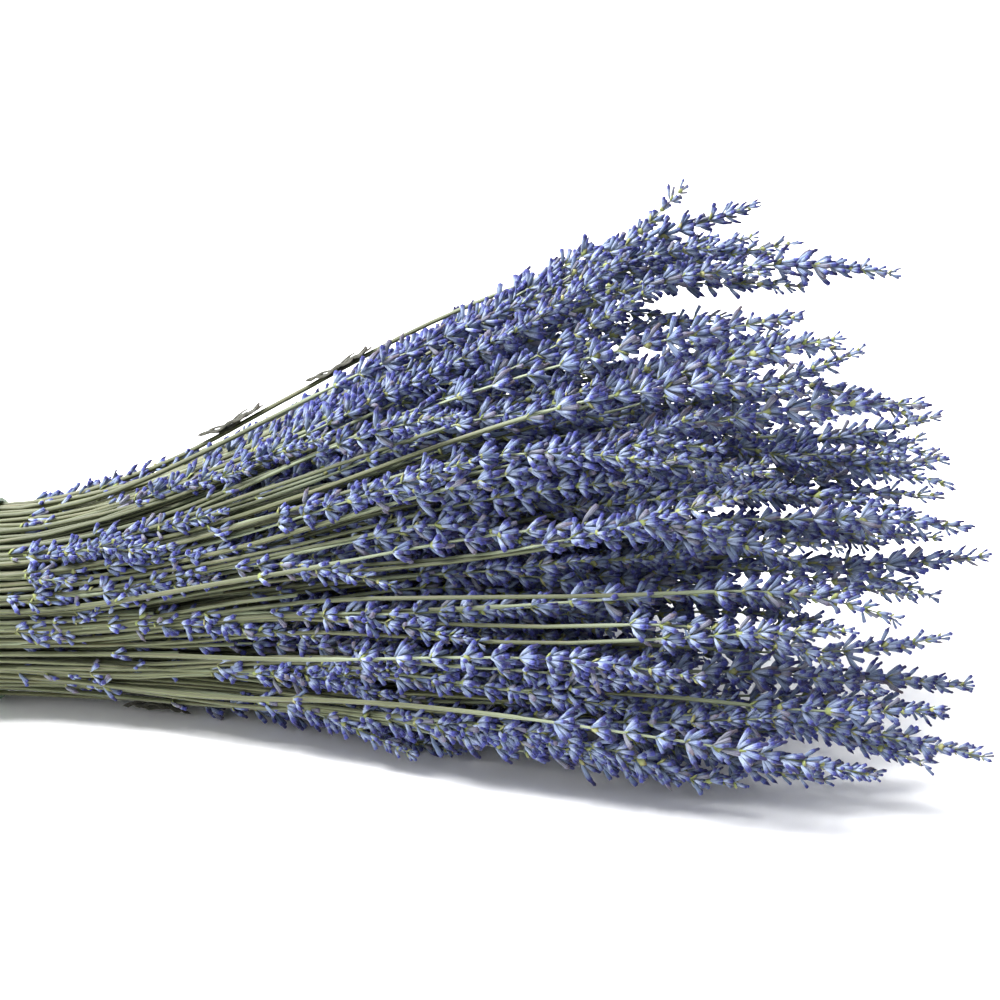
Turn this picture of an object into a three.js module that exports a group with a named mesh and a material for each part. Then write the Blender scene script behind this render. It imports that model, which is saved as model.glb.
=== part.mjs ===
// A bunch of dried lavender lying on its side, held by one elastic band.
// Millimetres. +X runs from the cut ends to the flower heads, +Z is up, and the bunch rests on z = 0.
// The origin is under the middle of the bunch.
import * as THREE from 'three';

// ---- driving dimensions ----
const BUNCH_LENGTH = 460; // cut ends to the farthest flower tip
const TIE_X = 100; // from the cut ends to the middle of the band
const BUNDLE_RADIUS = 35; // the stems where the band holds them
const SPREAD_SIDE = 80; // how much the half width grows towards the heads
const SPREAD_UP = 62; // how much the half height grows towards the heads
const STEM_RADIUS = 1.05;
const SPIKE_RADIUS = 4.6; // a whorl of flowers
const SPIKE_LENGTH = 62;
const BAND_WIDTH = 8;
const BAND_THICKNESS = 1.2;
const LEAF_LENGTH = 26;
const LEAF_WIDTH = 3.4;
const LEAF_THICKNESS = 0.8;
const LEAF_CURL = 2; // how far its ends curl away
const LEAF_POINT = 0.25; // its ends' share of the full width
const CLEARANCE = 0.3; // between pieces that touch

// ---- counts ----
const SPRIG_COUNT = 56;
const SUNFLOWER_PLACES = 130; // places tried, from the outside in
const WHORLS = 5; // flower whorls on one spike
const SPRIG_SIDES = 6;
const BAND_SEGMENTS = 36;
const STEM_STATIONS = 4;
const LEAF_STATIONS = 6;

// ---- how the bunch fans out ----
const OUTERMOST = 0.97; // the outermost stems, as a share of the bundle's radius
const SPACING = 0.18; // least distance between stems in the bundle, as a share of its radius
const BAND_FLAT = Math.cos(Math.PI / BAND_SEGMENTS); // a facet's middle is this much nearer the axis
const BAND_INNER = (OUTERMOST * BUNDLE_RADIUS + STEM_RADIUS + CLEARANCE) / BAND_FLAT;
const BAND_OUTER = BAND_INNER + BAND_THICKNESS;
const HELD = BAND_WIDTH / 2 + 1; // each side of the band's middle, the stems run straight
const NEAREST = 0.39; // reach of the shortest sprigs of the pattern
const FARTHEST = 0.9; // reach of the longest, in the middle of the bunch
const FARTHEST_OUTSIDE = 0.745; // reach of the longest on the outside
const STRETCH_RANGE = [0.8, 1.15]; // a pattern spike's length, as shares of SPIKE_LENGTH
const TRIM_DEPTH = 12; // the cut ends are not quite flush
const CUT_END_SPREAD = 6; // the bundle's radius grows this much towards the cut ends
const SIDE_OPENING = { reach: 185, power: 1.6 }; // how fast the fan opens sideways past the band
const UP_OPENING = { reach: 171, power: 1.8 }; // and upwards
const SAG_REACH = 200; // past the band, the fan has its full sag and flare from here
const LIFT_REACH = 120; // past the band, the lowest stems lie on the ground from here
const SAG = 0.13; // how strongly the low stems settle
const FLARE = 0.8; // how strongly the low stems spread sideways
const GROUND_KNEE = 2; // how softly a path levels out on the ground
const GOLDEN_ANGLE = Math.PI * (3 - Math.sqrt(5));

// Sprigs that show on the outside or reach out of the mass, each by hand: u and v are the place in
// the bundle (side and height, -1 to 1), reach is where the tip ends, as a share of the way from the
// band to the farthest tip, stretch is the spike's length as a share of SPIKE_LENGTH, and side and
// rise bend the tip out of its path.
const REACHING = [
  { u: -0.62, v: 0.73, reach: 0.783, stretch: 1.23, side: 0, rise: 0 },
  { u: -0.76, v: 0.6, reach: 0.783, stretch: 0.97, side: 0, rise: 0 },
  { u: -0.63, v: 0.43, reach: 0.894, stretch: 1.29, side: 0, rise: 0 },
  { u: -0.86, v: 0.42, reach: 0.683, stretch: 1.13, side: 0, rise: 0 },
  { u: -0.35, v: -0.03, reach: 0.956, stretch: 0.97, side: 0, rise: 0 },
  { u: -0.08, v: -0.32, reach: 1, stretch: 0.97, side: 0, rise: 6 },
  { u: -0.38, v: -0.6, reach: 0.961, stretch: 1, side: 0, rise: 0 },
  { u: -0.2, v: -0.82, reach: 0.939, stretch: 0.94, side: -22, rise: 0 },
  { u: -0.6, v: -0.46, reach: 0.856, stretch: 1.03, side: -10, rise: -6 },
  { u: -0.8, v: -0.56, reach: 0.842, stretch: 1.16, side: -4, rise: -8 },
  { u: -0.62, v: -0.75, reach: 0.728, stretch: 1.19, side: -6, rise: 0 },
  { u: -0.42, v: -0.88, reach: 0.411, stretch: 0.71, side: -8, rise: 0 },
  { u: -0.4, v: 0.84, reach: 0.633, stretch: 1, side: 0, rise: 19 },
  { u: 0.36, v: 0.9, reach: 0.772, stretch: 1.06, side: 0, rise: 6 },
  { u: 0.16, v: 0.74, reach: 0.906, stretch: 1.06, side: 0, rise: 0 },
  { u: -0.94, v: 0.2, reach: 0.728, stretch: 0.97, side: 0, rise: 0 },
  { u: -0.9, v: -0.08, reach: 0.828, stretch: 1.26, side: 0, rise: 0 },
  { u: -0.9, v: -0.28, reach: 0.694, stretch: 1.19, side: 0, rise: -4 },
  { u: -0.76, v: 0.2, reach: 0.494, stretch: 0.9, side: -4, rise: 0 },
  { u: -0.48, v: 0.6, reach: 0.517, stretch: 0.94, side: -6, rise: 4 },
  { u: -0.72, v: -0.24, reach: 0.45, stretch: 0.84, side: -6, rise: 0 },
  { u: -0.18, v: 0.95, reach: 0.556, stretch: 0.9, side: 0, rise: 6 },
];

function lerp(a, b, t) {
  return a + (b - a) * t;
}

function clamp01(t) {
  return Math.min(Math.max(t, 0), 1);
}

function ease(t) {
  const c = clamp01(t);
  return c * c * (3 - 2 * c);
}

// A repeatable number from 0 to 1 for each sprig and use.
function chance(index, use) {
  const s = Math.sin(index * 12.9898 + use * 78.233) * 43758.5453;
  return s - Math.floor(s);
}

// How far the fan has opened at a distance past the band: 0 at the band, nearly 1 at the heads.
function opening(distance, { reach, power }) {
  return 1 - Math.exp(-((distance / reach) ** power));
}

// Where the stem at place (u, v) of the bundle runs at a given x. The bunch keeps its lowest
// stems on the ground, so the height grows from the ground up, and low stems spread sideways.
function stemPoint(u, v, x) {
  const past = Math.max(0, x - TIE_X - HELD);
  const heads = ease(past / SAG_REACH);
  const ends = CUT_END_SPREAD * ease((TIE_X - HELD - x) / TIE_X);
  const side = SPREAD_SIDE * opening(past, SIDE_OPENING) + ends;
  const up = SPREAD_UP * opening(past, UP_OPENING) + ends;
  const sag = 1 + SAG * heads;
  const flare = 1 + FLARE * heads * Math.max(0, -v);
  const lift = (BAND_OUTER - BUNDLE_RADIUS) * (1 - ease(past / LIFT_REACH));
  const y = (BUNDLE_RADIUS + side) * u * flare;
  const z = lift + 2 * (BUNDLE_RADIUS + up) * ((1 + v) / 2) ** sag;
  return new THREE.Vector3(x, y, z);
}

// Keeps a piece of the given radius on or above the ground, with a soft knee.
function rest(z, radius) {
  const above = z - radius;
  return radius + (above + Math.hypot(above, GROUND_KNEE)) / 2;
}

// A closed solid through rings that stand square to X. Each ring is
// { x, y, z, across, high }: its centre and its half sizes.
function loft(rings, sides) {
  const positions = [];
  const index = [];
  for (const ring of rings) {
    for (let k = 0; k < sides; k++) {
      const angle = (2 * Math.PI * (k + 0.5)) / sides;
      const y = ring.y + ring.across * Math.cos(angle);
      const z = ring.z + ring.high * Math.sin(angle);
      positions.push(ring.x, y, z);
    }
  }
  for (let j = 0; j + 1 < rings.length; j++) {
    for (let k = 0; k < sides; k++) {
      const a = j * sides + k;
      const b = j * sides + ((k + 1) % sides);
      index.push(a, b, a + sides, b, b + sides, a + sides);
    }
  }
  const last = (rings.length - 1) * sides;
  for (let k = 1; k + 1 < sides; k++) {
    index.push(0, k + 1, k, last, last + k, last + k + 1);
  }
  const geometry = new THREE.BufferGeometry();
  geometry.setAttribute('position', new THREE.Float32BufferAttribute(positions, 3));
  geometry.setIndex(index);
  geometry.computeVertexNormals();
  return geometry;
}

function mesh(name, geometry, material) {
  const made = new THREE.Mesh(geometry, material);
  made.name = name;
  return made;
}

// ---- sprigs ----

function isClear(place, others) {
  return others.every((o) => Math.hypot(o.u - place.u, o.v - place.v) >= SPACING);
}

// The reaching sprigs first, then a sunflower pattern of places for the rest of the bundle.
function sprigPlaces() {
  const places = [...REACHING];
  for (let i = 0; i < SUNFLOWER_PLACES && places.length < SPRIG_COUNT; i++) {
    const radius = OUTERMOST * Math.sqrt((SUNFLOWER_PLACES - i - 0.5) / SUNFLOWER_PLACES);
    const u = radius * Math.cos(i * GOLDEN_ANGLE);
    const v = radius * Math.sin(i * GOLDEN_ANGLE);
    if (isClear({ u, v }, places)) {
      const reach = lerp(NEAREST, lerp(FARTHEST, FARTHEST_OUTSIDE, radius * radius), chance(i, 1));
      const stretch = lerp(...STRETCH_RANGE, chance(i, 2));
      places.push({ u, v, reach, stretch, side: 0, rise: 0 });
    }
  }
  return places;
}

function tipX(sprig) {
  return lerp(TIE_X, BUNCH_LENGTH, sprig.reach);
}

function spikeLength(sprig) {
  return SPIKE_LENGTH * sprig.stretch;
}

function spikeStartX(sprig) {
  return tipX(sprig) - spikeLength(sprig);
}

// The centre of a sprig at x: its path through the bunch, bent away over the last stretch.
function sprigPoint(sprig, x, radius) {
  const point = stemPoint(sprig.u, sprig.v, x);
  const bend = clamp01((x - spikeStartX(sprig)) / spikeLength(sprig)) ** 2;
  point.y += sprig.side * bend;
  point.z = rest(point.z + sprig.rise * bend, radius);
  return point;
}

function sprigRing(sprig, x, radius) {
  const { y, z } = sprigPoint(sprig, x, radius);
  return { x, y, z, across: radius, high: radius };
}

// One whorl along its pitch: narrow at the neck, full at the belly.
const NECK = { along: 0.12, radius: 0.6 * SPIKE_RADIUS };
const BELLY = { along: 0.62, radius: SPIKE_RADIUS };
const LAST_BELLY = 0.75; // the last whorl is this much of a full one
const TIP_RADIUS = 0.3 * SPIKE_RADIUS;

// One sprig: a straight cut stem that swells into whorls and ends in a small bud tip.
function sprigRings(sprig, index) {
  const cut = TRIM_DEPTH * chance(index, 3);
  const spikeStart = spikeStartX(sprig);
  const pitch = spikeLength(sprig) / WHORLS;
  const rings = [];
  const bandStart = TIE_X - HELD;
  const bandEnd = TIE_X + HELD;
  for (const x of [cut, (cut + bandStart) / 2, bandStart, bandEnd]) {
    rings.push(sprigRing(sprig, x, STEM_RADIUS));
  }
  for (let j = 1; j <= STEM_STATIONS; j++) {
    const x = lerp(bandEnd, spikeStart, j / STEM_STATIONS);
    rings.push(sprigRing(sprig, x, STEM_RADIUS));
  }
  for (let w = 0; w < WHORLS; w++) {
    const taper = w === WHORLS - 1 ? LAST_BELLY : 1;
    const start = spikeStart + w * pitch;
    const neck = w === 0 ? STEM_RADIUS * 2 : NECK.radius;
    rings.push(sprigRing(sprig, start + NECK.along * pitch, neck));
    rings.push(sprigRing(sprig, start + BELLY.along * pitch, BELLY.radius * taper));
  }
  rings.push(sprigRing(sprig, tipX(sprig), TIP_RADIUS));
  return rings;
}

function sprigMaterial(index) {
  const colour = new THREE.Color(0x7880a6).lerp(new THREE.Color(0x5c6698), chance(index, 4));
  return new THREE.MeshStandardMaterial({ color: colour, roughness: 0.9, metalness: 0 });
}

function addSprigs(group, sprigs) {
  sprigs.forEach((rings, index) => {
    const name = `sprig_${String(index + 1).padStart(2, '0')}`;
    group.add(mesh(name, loft(rings, SPRIG_SIDES), sprigMaterial(index)));
  });
}

// ---- the band ----

function addBand(group) {
  const half = BAND_WIDTH / 2;
  const round = 0.3 * BAND_THICKNESS;
  const outline = [
    [BAND_INNER, -half],
    [BAND_OUTER - round, -half],
    [BAND_OUTER, round - half],
    [BAND_OUTER, half - round],
    [BAND_OUTER - round, half],
    [BAND_INNER, half],
    [BAND_INNER, -half],
  ].map(([radius, along]) => new THREE.Vector2(radius, along));
  const geometry = new THREE.LatheGeometry(outline, BAND_SEGMENTS);
  const material = new THREE.MeshStandardMaterial({ color: 0x9dbb8f, roughness: 0.6, metalness: 0 });
  const band = mesh('tie_band', geometry, material);
  band.rotation.z = -Math.PI / 2;
  band.position.set(TIE_X, 0, BAND_OUTER);
  group.add(band);
}

// ---- dried leaves ----

// Loose leaves caught against a stem: sprig is the sprig's number, along is the leaf's middle as a
// share of the bare stem past the band, and facing is 1 on top of the stem or -1 under it.
const LEAVES = [
  { sprig: 12, along: 0.58, facing: -1 },
  { sprig: 14, along: 0.4, facing: 1 },
  { sprig: 14, along: 0.59, facing: 1 },
];

// The centre of a sprig's built solid at x, between the two rings on either side.
function centreAt(rings, x) {
  const next = rings.findIndex((ring) => ring.x > x);
  const a = rings[next - 1];
  const b = rings[next];
  const t = (x - a.x) / (b.x - a.x);
  return { y: lerp(a.y, b.y, t), z: lerp(a.z, b.z, t) };
}

// A narrow blade, widest in the middle, with both ends curled away from the stem.
function leafRings(leaf, sprig, stem) {
  const rings = [];
  const middleX = lerp(TIE_X + HELD, spikeStartX(sprig), leaf.along);
  const high = LEAF_THICKNESS / 2;
  for (let j = 0; j <= LEAF_STATIONS; j++) {
    const t = j / LEAF_STATIONS;
    const x = middleX + LEAF_LENGTH * (t - 0.5);
    const across = (LEAF_WIDTH / 2) * lerp(LEAF_POINT, 1, Math.sin(Math.PI * t));
    const curl = LEAF_CURL * (2 * t - 1) ** 2;
    const { y, z } = centreAt(stem, x);
    const away = STEM_RADIUS + CLEARANCE + high + curl;
    rings.push({ x, y, z: z + leaf.facing * away, across, high });
  }
  return rings;
}

function addLeaves(group, places, sprigs) {
  LEAVES.forEach((leaf, index) => {
    const rings = leafRings(leaf, places[leaf.sprig - 1], sprigs[leaf.sprig - 1]);
    const material = new THREE.MeshStandardMaterial({ color: 0x4f4d36, roughness: 0.95, metalness: 0 });
    group.add(mesh(`dried_leaf_${index + 1}`, loft(rings, SPRIG_SIDES), material));
  });
}

// ---- the bunch ----

const bunch = new THREE.Group();
const places = sprigPlaces();
const sprigs = places.map(sprigRings);
addSprigs(bunch, sprigs);
addBand(bunch);
addLeaves(bunch, places, sprigs);
const box = new THREE.Box3().setFromObject(bunch, true);
const middle = box.getCenter(new THREE.Vector3());
bunch.position.set(-middle.x, -middle.y, -box.min.z);

const group = new THREE.Group();
group.add(bunch);

export default group;
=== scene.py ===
import math
import random

import bpy
import numpy as np
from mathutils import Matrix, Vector
from mathutils.geometry import area_tri, delaunay_2d_cdt


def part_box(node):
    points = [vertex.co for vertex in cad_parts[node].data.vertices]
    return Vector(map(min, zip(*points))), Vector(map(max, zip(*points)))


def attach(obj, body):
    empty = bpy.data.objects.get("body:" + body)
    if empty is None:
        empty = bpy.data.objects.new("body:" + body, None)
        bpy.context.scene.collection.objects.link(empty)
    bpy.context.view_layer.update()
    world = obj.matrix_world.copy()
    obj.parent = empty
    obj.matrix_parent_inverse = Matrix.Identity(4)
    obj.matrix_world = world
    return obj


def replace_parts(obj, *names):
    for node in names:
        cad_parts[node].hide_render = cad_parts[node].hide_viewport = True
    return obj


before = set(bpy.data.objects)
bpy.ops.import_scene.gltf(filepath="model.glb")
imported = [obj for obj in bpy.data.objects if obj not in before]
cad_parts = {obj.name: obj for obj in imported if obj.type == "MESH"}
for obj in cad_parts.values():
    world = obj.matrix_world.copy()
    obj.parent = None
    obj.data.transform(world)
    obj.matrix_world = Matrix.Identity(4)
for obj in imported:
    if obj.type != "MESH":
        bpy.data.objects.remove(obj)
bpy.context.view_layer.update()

# ---- The table and the light -------------------------------------------------------------------
# The bunch lies on a plain white table in a light room: one broad soft light overhead, towards the
# stems, a weaker one in front, and a white surround with a light of its own on the wall.
class Wire:
    """A node's output socket that can be used in plain arithmetic."""

    def __init__(self, socket):
        self.socket = socket
        self.tree = socket.id_data

    @staticmethod
    def add(tree, kind, settings=None, values=None, out=0):
        """Adds a node: its settings first, then the values or links of its input sockets."""
        node = tree.nodes.new(kind)
        for key, value in (settings or {}).items():
            setattr(node, key, value)
        for key, value in (values or {}).items():
            for one in value if isinstance(value, list) else [value]:
                if isinstance(one, Wire):
                    tree.links.new(one.socket, node.inputs[key])
                else:
                    node.inputs[key].default_value = one
        return Wire(node.outputs[out])

    def other(self, out):
        """Another output of the same node."""
        return Wire(self.socket.node.outputs[out])

    def math(self, operation, a, b=None):
        values = {0: a} if b is None else {0: a, 1: b}
        return Wire.add(self.tree, "ShaderNodeMath", {"operation": operation}, values)

    def __add__(self, other):
        return self.math("ADD", self, other)

    def __radd__(self, other):
        return self.math("ADD", other, self)

    def __sub__(self, other):
        return self.math("SUBTRACT", self, other)

    def __rsub__(self, other):
        return self.math("SUBTRACT", other, self)

    def __mul__(self, other):
        return self.math("MULTIPLY", self, other)

    def __rmul__(self, other):
        return self.math("MULTIPLY", other, self)

    def __truediv__(self, other):
        return self.math("DIVIDE", self, other)

    def __mod__(self, other):
        return self.math("FLOORED_MODULO", self, other)

    def floor(self):
        return self.math("FLOOR", self)

    def cos(self):
        return self.math("COSINE", self)

    def sin(self):
        return self.math("SINE", self)

    def above(self, limit):
        return self.math("GREATER_THAN", self, limit)

    def rounded(self):
        """Turns a circle's cosine or sine into that of a square with soft corners."""
        values = {"Value": self * 1.6, "Min": -1.0, "Max": 1.0}
        return Wire.add(self.tree, "ShaderNodeClamp", None, values)

    def ramp(self, low, high):
        """0 at low, 1 at high, smooth between."""
        settings = {"interpolation_type": "SMOOTHSTEP"}
        values = {"Value": self, "From Min": low, "From Max": high}
        return Wire.add(self.tree, "ShaderNodeMapRange", settings, values)

    def mix(self, low, high):
        """A colour from low, where this is 0, to high, where it is 1."""
        return Wire.add(self.tree, "ShaderNodeMix", {"data_type": "RGBA"}, {0: self, 6: low, 7: high}, 2)

    def tint(self, colour):
        """This colour multiplied by another."""
        settings = {"data_type": "RGBA", "blend_type": "MULTIPLY"}
        return Wire.add(self.tree, "ShaderNodeMix", settings, {0: 1.0, 6: self, 7: colour}, 2)


def noise(tree, place, scale, detail):
    return Wire.add(tree, "ShaderNodeTexNoise", None, {"Vector": place, "Scale": scale, "Detail": detail})


def rgba(red, green, blue):
    """A colour as a painter mixes it (0 to 255 on screen), in the linear values that a shader needs."""
    def linear(c):
        c /= 255
        return c / 12.92 if c <= 0.04045 else ((c + 0.055) / 1.055) ** 2.4
    return (linear(red), linear(green), linear(blue), 1)


def material(name, **constants):
    """A new material, its tree and its shader's inputs, with the values that are the same all over."""
    made = bpy.data.materials.new(name)
    made.use_nodes = True
    shader = made.node_tree.nodes["Principled BSDF"]
    for key, value in constants.items():
        shader.inputs[key.replace("_", " ")].default_value = value
    return made, made.node_tree, shader.inputs


def mesh_object(name, mesh):
    made = bpy.data.objects.new(name, mesh)
    bpy.context.scene.collection.objects.link(made)
    return made


scene = bpy.context.scene
scene.view_settings.view_transform = "Standard"

table_paint, tree, shader = material("table_paint", Roughness=0.7)
where = Wire.add(tree, "ShaderNodeTexCoord", out=3)
cloudy = noise(tree, where, 3.0, 2.0)
tree.links.new(cloudy.mix(rgba(250, 250, 251), rgba(253, 253, 254)).socket, shader["Base Color"])

# the table top runs back and turns up into the wall in one sweep
table_half, sweep_start, sweep_radius, wall_top = 2.4, 1.0, 0.6, 2.2
sweep_steps = 12
profile = [(-table_half, 0.0), (sweep_start, 0.0)]
for step in range(1, sweep_steps + 1):
    angle = math.radians(90 * step / sweep_steps)
    profile.append((sweep_start + sweep_radius * math.sin(angle), sweep_radius * (1 - math.cos(angle))))
profile.append((sweep_start + sweep_radius, wall_top))
corners = [(side * table_half, y, z) for side in (-1, 1) for y, z in profile]
count = len(profile)
sweep = bpy.data.meshes.new("table")
sweep.from_pydata(corners, [], [(i + count, i + count + 1, i + 1, i) for i in range(count - 1)])
sweep.shade_smooth()
sweep.materials.append(table_paint)
mesh_object("table", sweep)

world = bpy.data.worlds.new("room")
scene.world = world
world.use_nodes = True
world.node_tree.nodes["Background"].inputs["Color"].default_value = (0.93, 0.95, 1.0, 1)
world.node_tree.nodes["Background"].inputs["Strength"].default_value = 0.56


def soft_light(name, place, aim, size, power):
    lamp = bpy.data.lights.new(name, "AREA")
    lamp.shape = "DISK"
    lamp.size = size
    lamp.energy = power
    made = bpy.data.objects.new(name, lamp)
    made.location = place
    made.rotation_euler = (Vector(aim) - Vector(place)).to_track_quat("-Z", "Y").to_euler()
    scene.collection.objects.link(made)


soft_light("overhead_light", (-0.5, 0.0, 1.15), (0, 0, 0.05), 0.9, 56)
soft_light("front_light", (-0.8, -1.1, 0.6), (0, 0, 0.05), 0.9, 5)
soft_light("wall_light", (0, 0.9, 1.4), (0, 1.6, 0.5), 0.8, 22)

# the camera looks across the bunch from the side, a little from above, past the band's near edge
band_low, band_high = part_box("tie_band")
band_middle = (band_low + band_high) / 2
elevation = math.radians(17)
distance = 0.8
aim_past_band, aim_height = 0.186, 0.074
target = Vector((band_middle.x + aim_past_band, band_middle.y, aim_height))
lens = bpy.data.cameras.new("camera")
lens.sensor_width = 36
lens.lens = 80
camera = bpy.data.objects.new("camera", lens)
camera.location = target + distance * Vector((0, -math.cos(elevation), math.sin(elevation)))
camera.rotation_euler = (math.pi / 2 - elevation, 0, 0)
scene.collection.objects.link(camera)
scene.camera = camera


# ---- The sprigs' stems -------------------------------------------------------------------------
# Each sprig is one cut stem, square and ridged, about 2 mm thick, sage green to straw. It is stiff
# and dry, runs straight through the band and then bows outwards with the fan.
MM = 0.001
CALYX_LENGTH = 7.0 * MM
TIP_OVERHANG = 0.4  # of a calyx's length stands past the end of its stalk
STEM_THICK = 1.0 * MM  # half, at the cut end
NECK_THICK = 0.72 * MM  # half, where the flowers begin
RACHIS_THICK = 0.5 * MM  # half, between the flowers
TIP_THICK = 0.25 * MM
END_CAP = 0.02 * MM
STEM_SHARE = 0.7  # of a sprig's skin is stem, the rest is the stalk between the flowers
STEM_LIMIT = 1.3 * MM  # a modelled sprig's rings are narrower than this on its stem
WHORL_LIMIT = 3.0 * MM  # and wider than this on its whorls
LOOSE_RANGE = (15, 70)  # mm of whorls set wide apart below the spike proper
LOFTED_NOD = 8 * MM  # how far a spike's tip can nod out of its modelled place
WANDER = (0.4 * MM, 1.3 * MM)  # a stem's wander at the band, and what is added well past it
FREE_FROM = 80 * MM  # past the band
TABLE_GAP = 1.2 * MM  # under the lowest centre lines
held = band_middle.x


class Path:
    """A smooth line that is known at a few places along X, and runs on straight past its ends."""

    def __init__(self, points):
        self.x = np.array([p[0] for p in points])
        self.yz = np.array([p[1:3] for p in points])
        self.slope = np.gradient(self.yz, self.x, axis=0)

    def at(self, x):
        i = int(np.clip(np.searchsorted(self.x, x) - 1, 0, len(self.x) - 2))
        span = self.x[i + 1] - self.x[i]
        t = (x - self.x[i]) / span
        if t < 0:
            return self.yz[i] + self.slope[i] * (x - self.x[i])
        if t > 1:
            return self.yz[i + 1] + self.slope[i + 1] * (x - self.x[i + 1])
        a, b = self.yz[i], self.yz[i + 1]
        m, n = self.slope[i] * span, self.slope[i + 1] * span
        return (
            (2 * t**3 - 3 * t**2 + 1) * a + (t**3 - 2 * t**2 + t) * m
            + (3 * t**2 - 2 * t**3) * b + (t**3 - t**2) * n
        )


def rings_of(name):
    """The rings of a modelled piece, which is lofted along X: x, y, z and radius of each."""
    corners = np.array([v.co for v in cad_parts[name].data.vertices])
    corners = np.unique(corners.round(6), axis=0)
    breaks = np.nonzero(np.diff(corners[:, 0]) > 0.2 * MM)[0] + 1
    rings = []
    for ring in np.split(corners, breaks):
        middle = ring.mean(axis=0)
        radius = np.linalg.norm(ring[:, 1:] - middle[1:], axis=1).mean()
        rings.append((*middle, radius))
    return rings


class Sprig:
    """One sprig: its path, where it is cut and where it ends along X, how long its spike is, how far
    the spike nods, and the room it keeps to. A bare stem has no spike."""

    def __init__(self, path, cut, tip, spike, nod, room, seed):
        self.path, self.cut, self.tip, self.spike, self.nod = path, cut, tip, spike, nod
        self.room = room
        self.chance = random.Random(seed)


def lofted_sprig(name, seed):
    """The sprig that one node of the model stands for."""
    rings = rings_of(name)
    thin = [r for r in rings if r[3] < STEM_LIMIT]
    full = [r for r in rings if r[3] > WHORL_LIMIT]
    path = Path(thin + full + [rings[-1]])
    tip = rings[-1][0] - TIP_OVERHANG * CALYX_LENGTH
    loose = random.Random(seed).uniform(*LOOSE_RANGE) * MM
    return Sprig(path, rings[0][0], tip, tip - thin[-1][0] + loose, LOFTED_NOD, None, seed)


sprig_names = sorted(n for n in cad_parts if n.startswith("sprig_"))
sprigs = [lofted_sprig(name, seed) for seed, name in enumerate(sprig_names)]


def sway(sprig):
    """A wander to each side of a stem's path, least at the band, and a spike that nods its own way."""
    chance = sprig.chance
    waves = [(chance.uniform(0.3, 1), chance.uniform(0, 6.28), chance.uniform(18, 45)) for _ in range(4)]
    nod = Vector((0, chance.uniform(-1, 1), chance.uniform(-1.1, 0.6))) * sprig.nod

    def offset(x):
        y = sum(a * math.sin(p + f * x) for a, p, f in waves[:2])
        z = sum(a * math.sin(p + f * x) for a, p, f in waves[2:])
        bent = max(0.0, (x - sprig.tip + sprig.spike) / sprig.spike) if sprig.spike else 0.0
        free = min(1.0, max(0.0, (x - held) / FREE_FROM))
        return Vector((0, y, z)) * (WANDER[0] + WANDER[1] * free) + nod * bent**2

    return offset


def centre_line(sprig, fine):
    """Points along a sprig, close together where it is fine, and how many of them are on the stem."""
    wander = sway(sprig)
    neck = sprig.tip - sprig.spike
    stem_step, spike_step = (11 * MM, 3.5 * MM) if fine else (20 * MM, 5 * MM)
    places = list(np.linspace(sprig.cut, neck, max(4, round((neck - sprig.cut) / stem_step))))
    first = len(places)
    if sprig.spike:
        places += list(np.linspace(neck, sprig.tip, max(5, round(sprig.spike / spike_step))))[1:]
    points = []
    for x in places:
        y, z = sprig.path.at(x)
        point = Vector((x, y, z)) + wander(x)
        if sprig.room:
            (low_y, low_z), (high_y, high_z) = (wall.at(x) for wall in sprig.room)
            point.y = min(max(point.y, low_y), high_y)
            point.z = min(max(point.z, low_z), high_z)
        point.z = max(point.z, TABLE_GAP)
        points.append(point)
    return points, first


TILES = 12  # different skins that a calyx or a bract can have
STEM_BAND = (0.68, 1.0)  # of the skin's map


def skin_parts(tree, low, high):
    """The skin's map in one band of heights: across, the tile, and the place in the tile both ways."""
    skin = Wire.add(tree, "ShaderNodeUVMap", {"uv_map": "skin"})
    across = Wire.add(tree, "ShaderNodeSeparateXYZ", None, {0: skin})
    scaled = across * TILES
    return across, scaled.floor(), scaled % 1.0, (across.other(1) - low) / (high - low)


def random_number(tree, number, offset):
    """A number from 0 to 1 that belongs to a tile."""
    settings = {"noise_dimensions": "1D"}
    return Wire.add(tree, "ShaderNodeTexWhiteNoise", settings, {"W": number + offset}, "Value")


def vector(tree, x, y, z):
    return Wire.add(tree, "ShaderNodeCombineXYZ", None, {0: x, 1: y, 2: z})


def bumps(tree, shader, height, distance, strength):
    values = {"Strength": strength, "Distance": distance, "Height": height}
    tree.links.new(Wire.add(tree, "ShaderNodeBump", None, values).socket, shader["Normal"])


# four ridges painted lighter as highlights, with painted shade in the grooves between them, fine streaks
# along the grain, paler between the flowers, straw-coloured pith
stem_skin, tree, shader = material("stem_skin", Roughness=0.6, Sheen_Weight=0.12)
along, _, _, around = skin_parts(tree, *STEM_BAND)
ridge = (around * (8 * math.pi)).cos() * 0.5 + 0.5
grain = noise(tree, vector(tree, along * 9.0, around * 22.0, 0.0), 2.0, 4.0)
patch = noise(tree, vector(tree, along * 6.0, around * 2.0, 0.0), 3.0, 2.0)
hue = Wire.add(tree, "ShaderNodeAttribute", {"attribute_name": "tone"}, out="Fac")
green = hue.mix(rgba(50, 56, 30), rgba(74, 77, 44))
# painted highlight and shade: the ridges take a lighter green than the grooves between them
lit = ridge.ramp(0.25, 1.0).mix(green, hue.mix(rgba(80, 89, 56), rgba(106, 110, 72)))
streaked = (grain.ramp(0.35, 0.7) * 0.45).mix(lit, rgba(44, 48, 28))
aged = (patch.ramp(0.55, 0.75) * 0.5).mix(streaked, rgba(92, 78, 50))
body = along.ramp(STEM_SHARE - 0.08, STEM_SHARE + 0.05).mix(aged, rgba(116, 126, 100))
cut_end = 1 - along.ramp(0.0, 0.002)
tree.links.new(cut_end.mix(body, rgba(160, 154, 118)).socket, shader["Base Color"])
bumps(tree, shader, ridge * 0.6 + grain * 0.4, 0.2 * MM, 0.5)


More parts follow.
